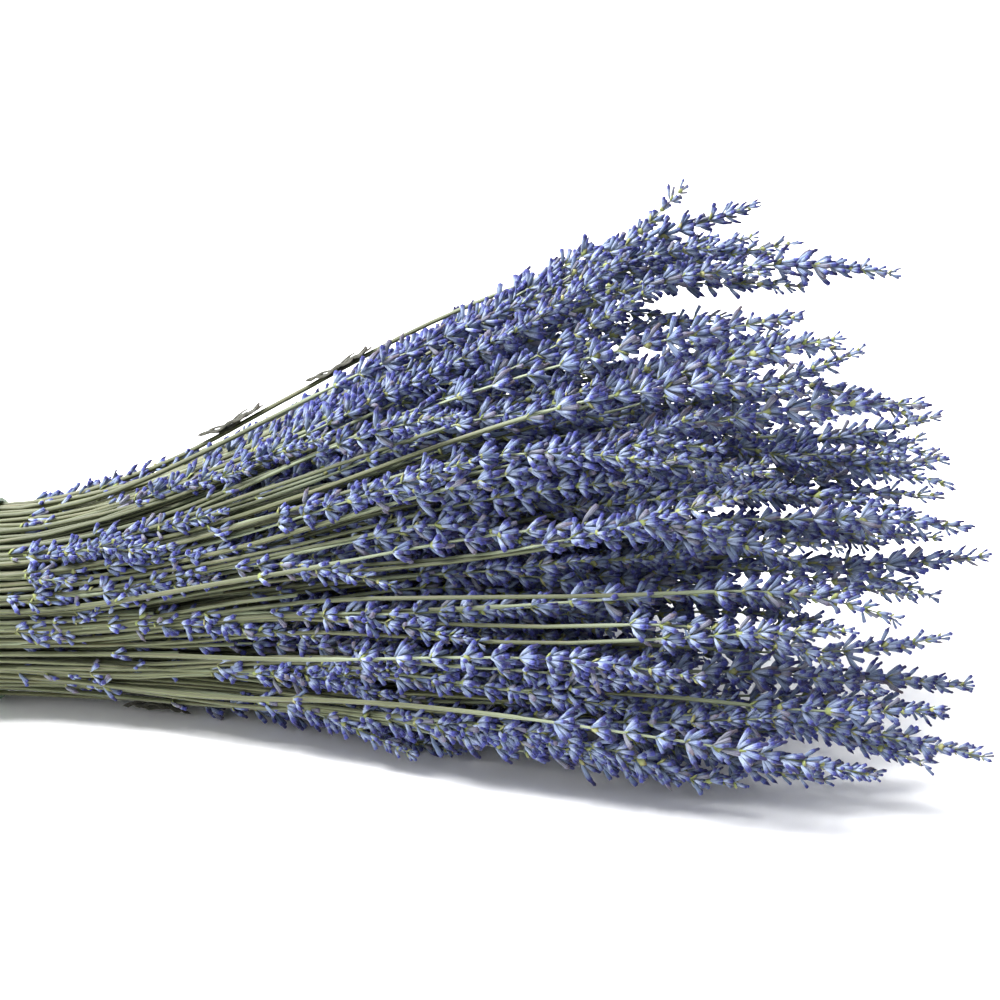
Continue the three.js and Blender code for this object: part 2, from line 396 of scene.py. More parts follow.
# ---- The flowers on each sprig -----------------------------------------------------------------
# A spike is a row of whorls. A whorl is two facing tufts of dried calyces, ribbed felted tubes about
# 7 mm long that lean towards the tip, pale at the base and violet at the mouth, over two bracts.
CALYX_THICK = 0.88 * MM  # half
BRACT_LENGTH = 3.8 * MM
TIP_PITCH = 4.4 * MM  # from the last whorl to the one below it
PITCH_GROWTH = 0.088  # wider for each unit of length down from the tip
TIP_SIZE = 0.6  # of the full size
FULL_SIZE_FROM = 30 * MM  # below the tip
LOOSE_FROM = 75 * MM
CALYCES = (11, 5)  # in a full whorl, and in the last
LOOSE_SHARE = 0.8  # of them are in a loose whorl
FINE_SHARE = 1.2  # of them are on the sprigs that are made one by one
QUARTER_TURN = 1.57  # each whorl's tufts cross those of the one below
STRAY_WHORLS = (0, 0, 1, 2, 3)  # lone whorls far down a stem
STRAY_FROM = 12 * MM  # past the band


def whorl_places(points, spike):
    """Where the whorls sit, from the tip down: a point, the heading there, the distance to the tip."""
    lengths = [0.0]
    down = points[::-1]
    for a, b in zip(down, down[1:]):
        lengths.append(lengths[-1] + (b - a).length)
    places = []
    along = 0.0
    while along < spike:
        k = min(max(i for i, d in enumerate(lengths) if d <= along), len(down) - 2)
        t = (along - lengths[k]) / (lengths[k + 1] - lengths[k])
        heading = (down[k] - down[k + 1]).normalized()
        places.append((down[k].lerp(down[k + 1], t), heading, along))
        along += TIP_PITCH + PITCH_GROWTH * along
    return places


def plan_mesh(name, places, edges, columns):
    """Points and edges that a Geometry Nodes tree grows a piece from, with named values a point."""
    mesh = bpy.data.meshes.new(name)
    mesh.from_pydata(places, edges, [])
    for key, values in columns.items():
        kind, field = ("FLOAT", "value")
        if isinstance(values[0], int):
            kind = "INT"
        if isinstance(values[0], tuple):
            kind, field = ("FLOAT_VECTOR", "vector")
        mesh.attributes.new(key, kind, "POINT").data.foreach_set(field, np.ravel(values))
    return mesh


def sprig_plan(name, chosen, fine):
    """The plan of some sprigs: one edge path a sprig, and one loose point a whorl."""
    names = ("thick", "along", "whorl", "heading", "size", "calyces", "turn")  # one row a point
    places, edges, rows = [], [], []
    level = (1.0, 0.0, 0.0)
    for sprig in chosen:
        points, first = centre_line(sprig, fine)
        start = len(places)
        last = len(points) - 1
        for i, point in enumerate(points):
            if i < first:
                t = i / (first - 1)
                thick = STEM_THICK + (NECK_THICK - STEM_THICK) * t
                along = STEM_SHARE * t
            else:
                t = (i - first + 1) / (last - first + 1)
                thick = RACHIS_THICK + (TIP_THICK - RACHIS_THICK) * t
                along = STEM_SHARE + (1 - STEM_SHARE) * t
            places.append(point)
            rows.append((thick, along, 0, level, 1.0, 0, 0.0))
        step = (points[1] - points[0]).normalized() * END_CAP
        places += [points[0] - step, points[-1] + step]
        rows += [(0.0, 0.0, 0, level, 1.0, 0, 0.0), (0.0, along, 0, level, 1.0, 0, 0.0)]
        end = start + last
        edges += [(end + 1, start)] + [(i, i + 1) for i in range(start, end)] + [(end, end + 2)]
        turn = sprig.chance.uniform(0, 6.28)
        for place, heading, below in whorl_places(points, sprig.spike):
            full = min(1.0, below / FULL_SIZE_FROM)
            size = (TIP_SIZE + (1 - TIP_SIZE) * full) * sprig.chance.uniform(0.88, 1.1)
            calyces = CALYCES[1] + (CALYCES[0] - CALYCES[1]) * full + sprig.chance.uniform(-1.5, 1.5)
            if below > LOOSE_FROM:
                calyces *= LOOSE_SHARE
            if fine:
                calyces *= FINE_SHARE
            turn += QUARTER_TURN + sprig.chance.uniform(-0.35, 0.35)
            places.append(place)
            rows.append((0.0, 0.0, 1, tuple(heading), size, round(calyces), turn))
        for stray in range(sprig.chance.choice(STRAY_WHORLS) if sprig.spike else 0):
            low = (held + STRAY_FROM - points[0].x) / (points[first - 1].x - points[0].x)
            spot = sprig.chance.uniform(low, 1) * (first - 1)
            k = min(int(spot), first - 2)
            places.append(points[k].lerp(points[k + 1], spot - k))
            heading = tuple((points[k + 1] - points[k]).normalized())
            size = sprig.chance.uniform(0.75, 1.0)
            rows.append((0.0, 0.0, 1, heading, size, sprig.chance.choice((3, 4, 6)), turn * (stray + 2)))
    return plan_mesh(name, places, edges, dict(zip(names, zip(*rows))))


POD_REACH = 1.3  # how far a bud shows, in calyx lengths
CALYX_BAND = (0.0, 0.5)
BRACT_BAND = (0.52, 0.66)

# ribs along the tube with painted shade in the furrows between them, pale and greenish at the foot,
# violet towards the mouth, a few faded brown
calyx_skin, tree, shader = material("calyx_skin", Sheen_Weight=0.08, Sheen_Roughness=0.5)
_, tile, around, up = skin_parts(tree, *CALYX_BAND)
up = up * POD_REACH
first_chance = random_number(tree, tile, 0.37)
second_chance = random_number(tree, tile, 7.71)
ribs = (around * (18 * math.pi)).cos() * 0.5 + 0.5
felt = noise(tree, vector(tree, around * 3.0, up * 4.0, tile * 3.7), 3.0, 3.0)
pale = first_chance.mix(rgba(106, 124, 154), rgba(174, 188, 213))
pale = (1 - up.ramp(0.0, 0.25)).mix(pale, rgba(112, 122, 100))
violet = second_chance.mix(rgba(40, 44, 118), rgba(62, 69, 154))
mouth = (up + felt * 0.3 + first_chance * 0.2).ramp(0.86, 1.22)
body = mouth.mix(pale, violet)
body = up.ramp(0.94, 1.0).mix(body, rgba(32, 30, 90))
body = up.ramp(1.04, 1.2).mix(body, rgba(32, 28, 84))
faded = tile.above(TILES - 1.5)
body = (faded * 0.5).mix(body, rgba(132, 120, 108))
# painted shade in the furrows between the ribs, with some darker felt mottling
shade = (1 - ribs) * 0.5 + felt.ramp(0.3, 0.8) * 0.2
body = shade.mix(body, body.tint(rgba(92, 96, 128)))
tree.links.new(body.socket, shader["Base Color"])
tree.links.new((0.7 + felt * 0.25).socket, shader["Roughness"])
bumps(tree, shader, ribs * 0.8 + felt * 0.5, 0.25 * MM, 0.6)

# a papery scale, yellow green with a brown edge and a darker vein
bract_skin, tree, shader = material("bract_skin", Roughness=0.8)
_, tile, around, up = skin_parts(tree, *BRACT_BAND)
vein = (around * (4 * math.pi)).cos() * 0.5 + 0.5
body = random_number(tree, tile, 3.11).mix(rgba(116, 130, 72), rgba(142, 142, 96))
body = up.ramp(0.6, 1.0).mix(body, rgba(106, 92, 68))
body = (vein.ramp(0.7, 1.0) * 0.4).mix(body, rgba(84, 82, 54))
tree.links.new(body.socket, shader["Base Color"])


def new_tree(name, **inputs):
    """A Geometry Nodes tree with named inputs: the tree, the geometry and one wire for each input."""
    made = bpy.data.node_groups.new(name, "GeometryNodeTree")
    kinds = {"GEOMETRY": "NodeSocketGeometry", "FLOAT": "NodeSocketFloat", "INT": "NodeSocketInt"}
    made.interface.new_socket("Geometry", in_out="INPUT", socket_type=kinds["GEOMETRY"])
    for key, kind in inputs.items():
        made.interface.new_socket(key.replace("_", " "), in_out="INPUT", socket_type=kinds[kind])
    made.interface.new_socket("Geometry", in_out="OUTPUT", socket_type=kinds["GEOMETRY"])
    group = made.nodes.new("NodeGroupInput")
    return [made] + [Wire(group.outputs[i]) for i in range(len(inputs) + 1)]


def finish_tree(tree, geometry):
    geometry = Wire.add(tree, "GeometryNodeRealizeInstances", None, {0: geometry})
    geometry = Wire.add(tree, "GeometryNodeSetShadeSmooth", None, {0: geometry})
    tree.links.new(geometry.socket, tree.nodes.new("NodeGroupOutput").inputs[0])


def named(tree, name, kind="FLOAT"):
    return Wire.add(tree, "GeometryNodeInputNamedAttribute", {"data_type": kind}, {"Name": name})


def kept(tree, geometry, *fields):
    """Keeps the values that some fields have on this geometry, for use after it changes."""
    node = tree.nodes.new("GeometryNodeCaptureAttribute")
    for field in fields:
        node.capture_items.new("FLOAT", "Value")
    for i, wire in enumerate((geometry, *fields)):
        tree.links.new(wire.socket, node.inputs[i])
    return [Wire(node.outputs[i]) for i in range(len(fields) + 1)]


def closed(tree, geometry):
    """Draws the rings of no size at a skin's ends, and its seam, together."""
    return Wire.add(tree, "GeometryNodeMergeByDistance", None, {0: geometry, "Distance": 0.01 * MM})


def paint(tree, geometry, skin):
    return Wire.add(tree, "GeometryNodeSetMaterial", None, {0: geometry, "Material": skin})


def store_skin(tree, geometry, across, up):
    settings = {"data_type": "FLOAT2", "domain": "CORNER"}
    values = {"Geometry": geometry, "Name": "skin", "Value": vector(tree, across, up, 0.0)}
    return Wire.add(tree, "GeometryNodeStoreNamedAttribute", settings, values)


def tube(tree, centre, ring_corners, scale, ridges=0.0, flat=1.0, cup=0.0):
    """A closed skin round a centre line: corners in the ring, ridges on it, how flat and how cupped
    it is. It also gives each place's share of the way round."""
    line = Wire.add(tree, "GeometryNodeCurvePrimitiveLine")
    ring = Wire.add(tree, "GeometryNodeResampleCurve", None, {"Curve": line, "Count": ring_corners + 1})
    ring, around = kept(tree, ring, Wire.add(tree, "GeometryNodeSplineParameter"))
    angle = around * (2 * math.pi)
    reach = 1 + (angle * 4).cos() * ridges
    x = angle.cos() * reach
    y = angle.sin() * reach * flat + x * x * cup
    ring = Wire.add(tree, "GeometryNodeSetPosition", None, {0: ring, "Position": vector(tree, x, y, 0.0)})
    values = {"Curve": centre, "Profile Curve": ring, "Scale": scale}
    return Wire.add(tree, "GeometryNodeCurveToMesh", None, values), around


def chance_between(tree, low, high, index, seed, kind="FLOAT"):
    low_socket, high_socket, out = {"FLOAT": (2, 3, 1), "INT": (4, 5, 2)}[kind]
    values = {low_socket: low, high_socket: high, "ID": index, "Seed": seed}
    return Wire.add(tree, "FunctionNodeRandomValue", {"data_type": kind}, values, out)


def graph(tree, along, points):
    """A value read off a line drawn through some points, for a place from 0 to 1."""
    made = Wire.add(tree, "ShaderNodeFloatCurve", None, {"Value": along})
    mapping = made.socket.node.mapping
    curve = mapping.curves[0].points
    while len(curve) < len(points):
        curve.new(0.5, 0.5)
    for point, place in zip(curve, points):
        point.location = place
        point.handle_type = "VECTOR"
    mapping.update()
    return made


def pod(tree, length, thick, shape, bend, corners, flat, cup, band, reach):
    """One closed pod along +Z, bent towards +Y. Its shape is its rings' places and radii, as shares
    of its length and thickness."""
    places, radii = shape
    steps = len(places) - 1
    line = Wire.add(tree, "GeometryNodeCurvePrimitiveLine")
    line = Wire.add(tree, "GeometryNodeResampleCurve", None, {"Curve": line, "Count": steps + 1})
    share = Wire.add(tree, "GeometryNodeSplineParameter")
    along = graph(tree, share, [(i / steps, p / places[-1]) for i, p in enumerate(places)])
    radius = graph(tree, share, [(i / steps, r) for i, r in enumerate(radii)])
    line, along, radius = kept(tree, line, along, radius)
    up = along * places[-1]
    place = vector(tree, 0.0, up * up * length * bend, up * length)
    line = Wire.add(tree, "GeometryNodeSetPosition", None, {0: line, "Position": place})
    skin, around = tube(tree, line, corners, radius * thick, flat=flat, cup=cup)
    skin = store_skin(tree, skin, around, up * ((band[1] - band[0]) / reach) + band[0])
    return Wire.add(tree, "GeometryNodeGeometryToInstance", None, {0: closed(tree, skin)})


def spread_on(tree, points, pods, choice, azimuth, tilt, scale, tile):
    """Puts a chosen pod at each point, turned about the point's heading and tilted away from it."""
    turn = Wire.add(tree, "FunctionNodeAlignRotationToVector", {"axis": "Z"},
                    {"Vector": named(tree, "heading", "FLOAT_VECTOR")})
    for angles in ((0.0, 0.0, azimuth), (tilt, 0.0, 0.0)):
        step = Wire.add(tree, "FunctionNodeEulerToRotation", None, {0: vector(tree, *angles)})
        settings = {"rotation_space": "LOCAL"}
        turn = Wire.add(tree, "FunctionNodeRotateRotation", settings, {0: turn, 1: step})
    choices = Wire.add(tree, "GeometryNodeJoinGeometry", None, {0: pods[::-1]})  # it lists the last first
    values = {"Points": points, "Instance": choices, "Pick Instance": True, "Instance Index": choice}
    values |= {"Rotation": turn, "Scale": scale}
    placed = Wire.add(tree, "GeometryNodeInstanceOnPoints", None, values)
    settings = {"data_type": "INT", "domain": "INSTANCE"}
    values = {"Geometry": placed, "Name": "tile", "Value": tile}
    placed = Wire.add(tree, "GeometryNodeStoreNamedAttribute", settings, values)
    placed = Wire.add(tree, "GeometryNodeRealizeInstances", None, {0: placed})
    skin = Wire.add(tree, "ShaderNodeSeparateXYZ", None, {0: named(tree, "skin", "FLOAT_VECTOR")})
    return store_skin(tree, placed, (skin + named(tree, "tile", "INT")) / TILES, skin.other(1))


# where each calyx shape has its rings, and how wide they are: shut, and with a dry bud showing
SHUT = ([0, 0.07, 0.4, 0.8, 0.97, 1.0], [0, 0.42, 0.72, 1.0, 0.92, 0])
BUDDED = ([0, 0.07, 0.4, 0.8, 0.98, 1.04, 1.2, 1.27], [0, 0.42, 0.72, 1.0, 0.86, 0.62, 0.66, 0])
PLAIN_SHUT = ([0, 0.42, 0.94, 1.0], [0, 0.76, 1.0, 0])
PLAIN_BUDDED = ([0, 0.42, 0.92, 1.22], [0, 0.76, 0.98, 0])
FINE_SHAPES = [(1.0, 1.0, SHUT, 0.1), (1.06, 0.95, SHUT, 0.3), (0.86, 1.05, SHUT, 0.2),
               (1.0, 1.0, BUDDED, 0.16), (0.92, 0.96, BUDDED, 0.3)]
PLAIN_SHAPES = [(1.0, 1.0, PLAIN_SHUT, 0.1), (1.06, 0.95, PLAIN_SHUT, 0.3), (0.88, 1.05, PLAIN_SHUT, 0.2),
                (0.98, 1.0, PLAIN_BUDDED, 0.2)]
BRACT_SHAPE = ([0, 0.16, 0.6, 1.0], [0, 0.7, 0.95, 0])

made = new_tree(
    "grow_sprigs", Calyx_length="FLOAT", Calyx_thickness="FLOAT", Bract_length="FLOAT", First_shape="INT",
    Last_shape="INT", Calyx_sides="INT", Stem_sides="INT", Seed="INT")
sprig_tree = tree = made[0]
plan, calyx_length, calyx_thick, bract_length, first_shape, last_shape, sides, stem_sides, seed = made[1:]

split = Wire.add(tree, "GeometryNodeSeparateGeometry", None, {0: plan, 1: named(tree, "whorl", "INT")})
line = Wire.add(tree, "GeometryNodeMeshToCurve", None, {0: split.other(1)})
stems, around = tube(tree, line, stem_sides, named(tree, "thick"), ridges=0.13)
up = around * (STEM_BAND[1] - STEM_BAND[0]) + STEM_BAND[0]
stems = closed(tree, store_skin(tree, stems, named(tree, "along"), up))

# the calyces of a whorl take turns between its two tufts, and stand side by side in each
CALYX_STEP = 0.55  # radians between neighbours in a tuft
CALYX_TILT = (0.35, 1.3)  # radians away from the stem
BRACT_TILT = (0.7, 1.3)
LOOSE_TURN = 0.3  # radians that a calyx or a bract can stand askew
points = Wire.add(tree, "GeometryNodeMeshToPoints", None, {0: split})
values = {0: points, "Amount": named(tree, "calyces", "INT")}
tufts = Wire.add(tree, "GeometryNodeDuplicateElements", {"domain": "POINT"}, values)
number = tufts.other(1)
index = Wire.add(tree, "GeometryNodeInputIndex")
place_in_tuft = (number / 2.0).floor() - (named(tree, "calyces", "INT") / 2.0 - 1.0) / 2.0
azimuth = named(tree, "turn") + (number % 2.0) * math.pi + place_in_tuft * CALYX_STEP
azimuth = azimuth + chance_between(tree, -LOOSE_TURN, LOOSE_TURN, index, seed + 1)
tilt = chance_between(tree, *CALYX_TILT, index, seed + 2) * (named(tree, "size") * 0.5 + 0.5)
size = named(tree, "size") * chance_between(tree, 0.84, 1.12, index, seed + 3)
drift = chance_between(tree, -0.6 * MM, 1.2 * MM, index, seed + 4)
values = {0: named(tree, "heading", "FLOAT_VECTOR"), "Scale": drift}
slide = Wire.add(tree, "ShaderNodeVectorMath", {"operation": "SCALE"}, values)
tufts = Wire.add(tree, "GeometryNodeSetPosition", None, {0: tufts, "Offset": slide})
pods = []
for longer, thicker, shape, bend in FINE_SHAPES + PLAIN_SHAPES:
    pods.append(pod(tree, calyx_length * longer, calyx_thick * thicker, shape, bend, sides, 1.0, 0.0,
                    CALYX_BAND, POD_REACH))
shape = chance_between(tree, first_shape, last_shape, index, seed + 5, "INT")
tile = chance_between(tree, 0, TILES - 1, index, seed + 6, "INT")
calyces = spread_on(tree, tufts, pods, shape, azimuth, tilt, size, tile)

# one bract under each tuft
leaves = Wire.add(tree, "GeometryNodeDuplicateElements", {"domain": "POINT"}, {0: points, "Amount": 2})
azimuth = named(tree, "turn") + leaves.other(1) * math.pi
azimuth = azimuth + chance_between(tree, -LOOSE_TURN, LOOSE_TURN, index, seed + 7)
tilt = chance_between(tree, *BRACT_TILT, index, seed + 8)
size = named(tree, "size") * chance_between(tree, 0.8, 1.15, index, seed + 9)
pods = []
for bend in (0.3, 0.55):
    pods.append(pod(tree, bract_length, bract_length * 0.42, BRACT_SHAPE, bend, 5, 0.22, 0.35,
                    BRACT_BAND, 1.0))
shape = chance_between(tree, 0, 1, index, seed + 10, "INT")
tile = chance_between(tree, 0, TILES - 1, index, seed + 11, "INT")
bracts = spread_on(tree, leaves, pods, shape, azimuth, tilt, size, tile)

painted = [paint(tree, stems, stem_skin), paint(tree, calyces, calyx_skin)]
painted.append(paint(tree, bracts, bract_skin))
finish_tree(tree, Wire.add(tree, "GeometryNodeJoinGeometry", None, {0: painted}))


def grown(name, plan, tree, **inputs):
    """Runs a tree on a plan and makes one plain mesh piece of the result, in its place."""
    maker = mesh_object(name + "_plan", plan)
    modifier = maker.modifiers.new("grow", "NODES")
    modifier.node_group = tree
    sockets = {s.name: s.identifier for s in tree.interface.items_tree if s.in_out == "INPUT"}
    for key, value in inputs.items():
        modifier[sockets[key.replace("_", " ")]] = value
    depsgraph = bpy.context.evaluated_depsgraph_get()
    mesh = bpy.data.meshes.new_from_object(maker.evaluated_get(depsgraph))
    mesh.name = name
    bpy.data.objects.remove(maker)
    spent = [a.name for a in mesh.attributes if a.name in plan.attributes or a.name == "tile"]
    for key in spent:
        if not mesh.attributes[key].is_required:
            mesh.attributes.remove(mesh.attributes[key])
    skin = np.empty(2 * len(mesh.loops), np.float32)
    mesh.attributes["skin"].data.foreach_get("vector", skin)
    # the skin's map, also kept as a UV map named OFBake
    mesh.uv_layers.new(name="OFBake").data.foreach_set("uv", skin)
    return mesh_object(name, mesh)


def keep_off_ground(mesh):
    """Flowers that the bunch lies on are pressed flat against the table."""
    clear, soft = 0.4 * MM, 1.5 * MM
    corners = np.empty(3 * len(mesh.vertices), np.float32)
    mesh.vertices.foreach_get("co", corners)
    z = corners[2::3]
    low = z < clear
    z[low] = clear * np.exp((z[low] - clear) / soft)
    mesh.vertices.foreach_set("co", corners)
    mesh.update()


def grow_sprigs(name, chosen, seed, fine):
    """Grows some sprigs as one piece, with more faces and fuller shapes where it is fine."""
    first_shape = 0 if fine else len(FINE_SHAPES)
    piece = grown(
        name, sprig_plan(name + "_plan", chosen, fine), sprig_tree,
        Calyx_length=CALYX_LENGTH, Calyx_thickness=CALYX_THICK, Bract_length=BRACT_LENGTH,
        First_shape=first_shape,
        Last_shape=first_shape + len(FINE_SHAPES if fine else PLAIN_SHAPES) - 1,
        Calyx_sides=7 if fine else 5, Stem_sides=8 if fine else 6, Seed=seed,
    )
    tones = piece.data.attributes.new("tone", "FLOAT", "POINT").data
    tones.foreach_set("value", [chosen[0].chance.random()] * len(tones))
    keep_off_ground(piece.data)
    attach(piece, "root")
    return piece


for seed, (name, sprig) in enumerate(zip(sprig_names, sprigs)):
    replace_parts(grow_sprigs(name + "_dried", [sprig], seed, True), name)


# ---- The sprigs packed between them ------------------------------------------------------------
# A bunch holds far more sprigs than can be made one by one. The rest fill the room between each
# three neighbours and the gaps round the outside, and there are bare stems that lost their heads.
INNER_SPRIGS = 360
BARE_STEMS = 200
HANDFUL = 16  # flowering sprigs that are grown as one piece
MOST_INNER = 24  # between the same three neighbours
INNER_TIPS = (0.72, 1.18)  # where the tips lie, as shares of the neighbours' reach past the band
OUTER_TIPS = (0.1, 0.95)
LOW_OUTER_TIPS = (0.5, 0.95)  # near the table the short ones are missing
BARE_TIPS = (0.2, 0.5)
INNER_SPIKES = (55, 92)  # mm
OUTER_SPIKES = (40, 85)
OUTER_PUSH = (-2, 1.5)  # mm outwards
OUTER_SPRIGS = 6  # in each gap of the rim
RESTING_BELOW = 14 * MM  # a gap of the rim that lies on the table at the band has none
LOW_BELOW = 32 * MM
PACKED_NOD = 19 * MM
ROOM_INSET = 8 * MM  # packed sprigs keep this far inside the fan, once it has opened
LEAST_REACH = 35 * MM  # of any sprig past the band
TIP_SHORTFALL = 18 * MM  # packed sprigs end this far short of the furthest tip
LEAST_BARE = 16 * MM  # of stem between the band and the first whorl
CUT_SPREAD = 14  # mm between the cut ends of the longest and the shortest
PATH_POINTS = 22
COLUMN = 12 * MM  # handfuls are gathered column by column
INNER_SEED, OUTER_SEED, BARE_SEED = 1000, 5000, 8000  # the first of each kind
FAN_SECTION = 0.2  # past the band, where the room between neighbours is measured
PAST_TIP = 30 * MM  # a sprig still counts in the fan's outline this far past its tip
INSET_FROM, INSET_RISE = 30 * MM, 80 * MM  # past the band, where the inset sets in
PUSH_RISE = 0.05
earliest_cut = min(s.cut for s in sprigs)
furthest_tip = max(s.tip for s in sprigs)
at_band = [Vector(s.path.at(held)) for s in sprigs]
in_fan = [Vector(s.path.at(held + FAN_SECTION)) for s in sprigs]
triangles = delaunay_2d_cdt(at_band, [], [], 0, 1e-6)[2]
stations = np.linspace(earliest_cut, furthest_tip, 40)
spread = {x: np.array([s.path.at(x) for s in sprigs if x < s.tip + PAST_TIP]) for x in stations}
middle_line = Path([(x, *spread[x].mean(axis=0)) for x in stations])
wide = np.array([x for x in stations if 2 * len(spread[x]) > len(sprigs)])  # before most of them end
inset = np.clip((wide - held - INSET_FROM) / INSET_RISE, 0, 1) * ROOM_INSET
fan_room = (Path([(x, *(spread[x].min(axis=0) + (gap, 0))) for x, gap in zip(wide, inset)]),
            Path([(x, *(spread[x].max(axis=0) - gap)) for x, gap in zip(wide, inset)]))


def random_weights(chance, count):
    cuts = [chance.uniform(0.15, 1) for _ in range(count)]
    return [c / sum(cuts) for c in cuts]


def sprig_between(neighbours, seed, tip_range, spike_range, push=0.0):
    """A sprig between others, nearer to one at the band and to another at its tip. Its tip lies in a
    range, as a share of the way from the band to its neighbours' tips."""
    chance = random.Random(seed)
    first = random_weights(chance, len(neighbours))
    last = random_weights(chance, len(neighbours))
    reach = sum(s.tip * w for s, w in zip(neighbours, last)) - held
    tip = held + max(reach * chance.uniform(*tip_range), LEAST_REACH)
    tip = min(tip, furthest_tip - TIP_SHORTFALL)
    spike = min(chance.uniform(*spike_range) * MM, tip - held - LEAST_BARE)
    cut = earliest_cut + chance.uniform(0, CUT_SPREAD) * MM
    points = []
    for x in np.linspace(cut, tip, PATH_POINTS):
        t = min(max((x - held) / (tip - held), 0.0), 1.0)
        weights = [a + (b - a) * t for a, b in zip(first, last)]
        place = sum(s.path.at(x) * w for s, w in zip(neighbours, weights))
        outward = place - middle_line.at(x)
        outward /= np.linalg.norm(outward)
        pushed = min(1.0, max(0.0, (x - held) / PUSH_RISE - 0.3))  # none at the band
        points.append((x, *(place + outward * push * pushed)))
    return Sprig(Path(points), cut, tip, spike, PACKED_NOD, fan_room, seed)


packed = []
edge_uses = {}
areas = [area_tri(*(in_fan[k] for k in corners)) for corners in triangles]
for number, (corners, area) in enumerate(zip(triangles, areas)):
    neighbours = [sprigs[k] for k in corners]
    for turn in range(min(MOST_INNER, max(1, round(INNER_SPRIGS * area / sum(areas))))):
        seed = INNER_SEED + 30 * number + turn
        packed.append(sprig_between(neighbours, seed, INNER_TIPS, INNER_SPIKES))
    for a, b in zip(corners, corners[1:] + corners[:1]):
        key = tuple(sorted((a, b)))
        edge_uses[key] = edge_uses.get(key, 0) + 1
rim = [key for key, uses in sorted(edge_uses.items()) if uses == 1]
for number, (a, b) in enumerate(rim):
    height = max(at_band[a].y, at_band[b].y)
    tips = LOW_OUTER_TIPS if height < LOW_BELOW else OUTER_TIPS
    for turn in range(0 if height < RESTING_BELOW else OUTER_SPRIGS):
        push = random.Random(number * 10 + turn).uniform(*OUTER_PUSH) * MM
        seed = OUTER_SEED + 10 * number + turn
        packed.append(sprig_between([sprigs[a], sprigs[b]], seed, tips, OUTER_SPIKES, push))
for number in range(BARE_STEMS):
    neighbours = [sprigs[k] for k in triangles[number % len(triangles)]]
    packed.append(sprig_between(neighbours, BARE_SEED + number, BARE_TIPS, (0, 0)))
packed.sort(key=lambda s: (round(s.path.at(held)[0] / COLUMN), s.path.at(held)[1]))
heads = 0
chosen = []
for number, sprig in enumerate(packed):
    chosen.append(sprig)
    heads += sprig.spike > 0
    if heads == HANDFUL or number == len(packed) - 1:
        grow_sprigs(f"packed_sprigs_{number + 1:03d}", chosen, 500 + number, False)
        heads = 0
        chosen = []


# ---- The band ----------------------------------------------------------------------------------
# A flat green rubber band, 8 mm wide and a little over 1 mm thick, stretched once round the stems.
# It has soft edges, is dusty and a little faded, and gives where stems press on it.
BAND_THICK = 1.2 * MM
BAND_STATIONS = 120
BAND_CORNERS = 24
BAND_WOBBLE = 0.5 * MM
BAND_WOBBLE_SCALE = 260.0

rubber, tree, shader = material("green_rubber", Roughness=0.55)
across, _, _, up = skin_parts(tree, 0.0, 1.0)
dust = noise(tree, vector(tree, across * 40.0, up * 2.0, 0.0), 2.0, 3.0)
wear = noise(tree, vector(tree, across * 90.0, up * 14.0, 0.0), 2.0, 2.0)
body = dust.ramp(0.3, 0.75).mix(rgba(104, 132, 100), rgba(132, 154, 124))
tree.links.new(body.socket, shader["Base Color"])
tree.links.new((0.45 + wear * 0.3).socket, shader["Roughness"])
bumps(tree, shader, wear, 0.1 * MM, 0.4)

made = new_tree("stretch_band", Width="FLOAT", Thickness="FLOAT", Wobble="FLOAT")
tree, loop, width, thick, wobble = made
centre = Wire.add(tree, "GeometryNodeMeshToCurve", None, {0: loop})
centre, along = kept(tree, centre, Wire.add(tree, "GeometryNodeSplineParameter"))
line = Wire.add(tree, "GeometryNodeCurvePrimitiveLine")
ring = Wire.add(tree, "GeometryNodeResampleCurve", None, {"Curve": line, "Count": BAND_CORNERS + 1})
ring, around = kept(tree, ring, Wire.add(tree, "GeometryNodeSplineParameter"))
angle = around * (2 * math.pi)
place = vector(tree, angle.cos().rounded() * width * 0.5, angle.sin().rounded() * thick * 0.5, 0.0)
ring = Wire.add(tree, "GeometryNodeSetPosition", None, {0: ring, "Position": place})
skin = Wire.add(tree, "GeometryNodeCurveToMesh", None, {"Curve": centre, "Profile Curve": ring})
skin = store_skin(tree, skin, along, around)
spot = Wire.add(tree, "GeometryNodeInputPosition")
values = {"Vector": spot, "Scale": BAND_WOBBLE_SCALE, "Detail": 1.0}
give = Wire.add(tree, "ShaderNodeTexNoise", None, values, 1)
offset = Wire.add(tree, "ShaderNodeVectorMath", {"operation": "SUBTRACT"}, {0: give, 1: (0.5, 0.5, 0.5)})
offset = Wire.add(tree, "ShaderNodeVectorMath", {"operation": "SCALE"}, {0: offset, "Scale": wobble})
skin = Wire.add(tree, "GeometryNodeSetPosition", None, {0: closed(tree, skin), "Offset": offset})
finish_tree(tree, paint(tree, skin, rubber))

half_y, half_z = ((band_high - band_low) / 2).yz
places = []
for step in range(BAND_STATIONS):
    turn = 2 * math.pi * step / BAND_STATIONS
    y, z = (half_y - BAND_THICK / 2) * math.cos(turn), (half_z - BAND_THICK / 2) * math.sin(turn)
    places.append(band_middle + Vector((0, y, z)))
edges = [(i, (i + 1) % BAND_STATIONS) for i in range(BAND_STATIONS)]
plan = plan_mesh("band_plan", places, edges, {})
sizes = {"Width": (band_high - band_low).x, "Thickness": BAND_THICK, "Wobble": BAND_WOBBLE}
band = grown("green_band", plan, tree, **sizes)
keep_off_ground(band.data)
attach(band, "root")
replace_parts(band, "tie_band")


